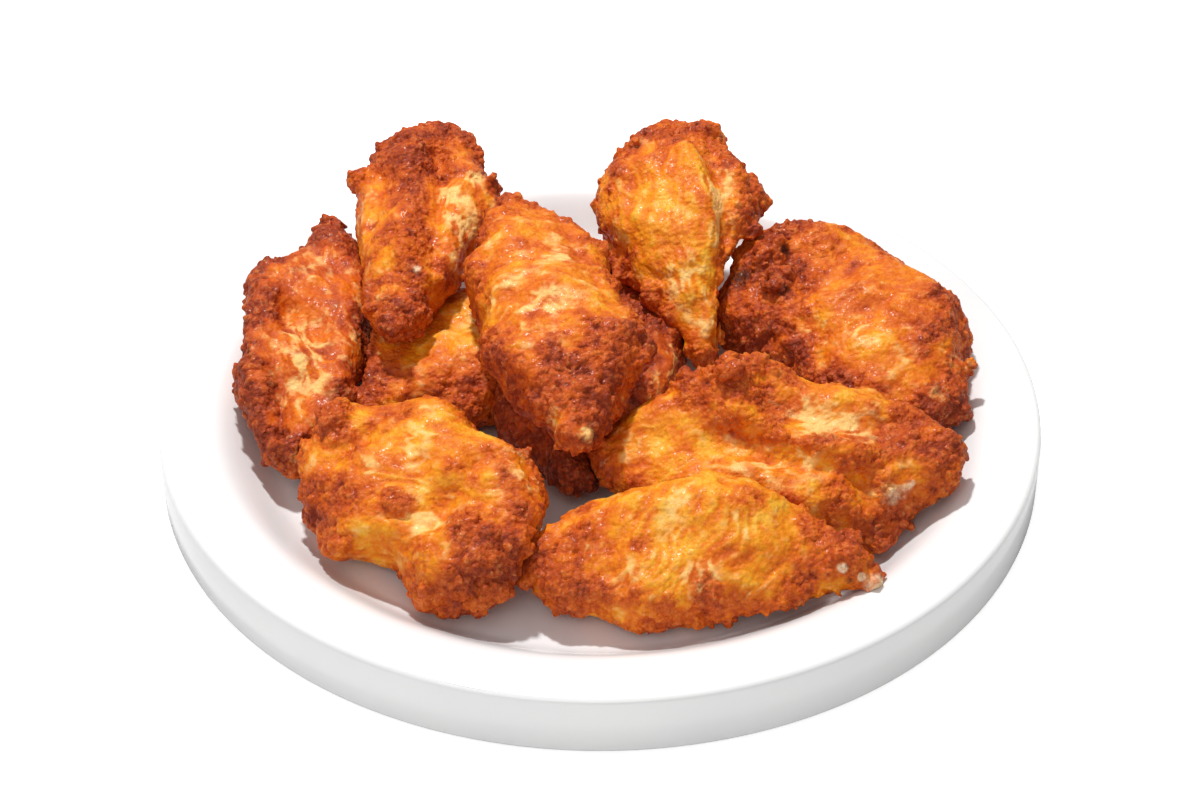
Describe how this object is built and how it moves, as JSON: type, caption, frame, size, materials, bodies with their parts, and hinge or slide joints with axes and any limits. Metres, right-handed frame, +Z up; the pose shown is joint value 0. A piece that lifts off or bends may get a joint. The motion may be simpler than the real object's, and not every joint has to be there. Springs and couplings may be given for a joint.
{
  "type": "chicken wings serving",
  "caption": "Serving of crisp fried chicken wings, flats and a drumette, heaped on a round white plate with a shallow well, a broad rim and a low upright side.",
  "frame": {"origin": "middle of the plate's foot, on the table", "axes": "+Z up, -Y towards the diner, +X to the diner's right"},
  "size_m": [0.22, 0.22, 0.0528],
  "materials": {
    "glaze": "white glaze, soft gloss",
    "crust": "crisp fried skin, golden to red-brown, lightly oiled"
  },
  "bodies": {
    "root": {"plate": "glaze", "wing_front": "crust", "wing_middle_right": "crust", "wing_front_left": "crust", "wing_left": "crust", "wing_under": "crust", "wing_inner_left": "crust", "wing_right": "crust", "wing_back_left": "crust", "wing_top": "crust", "drumette_back": "crust"}
  },
  "joints": []
}
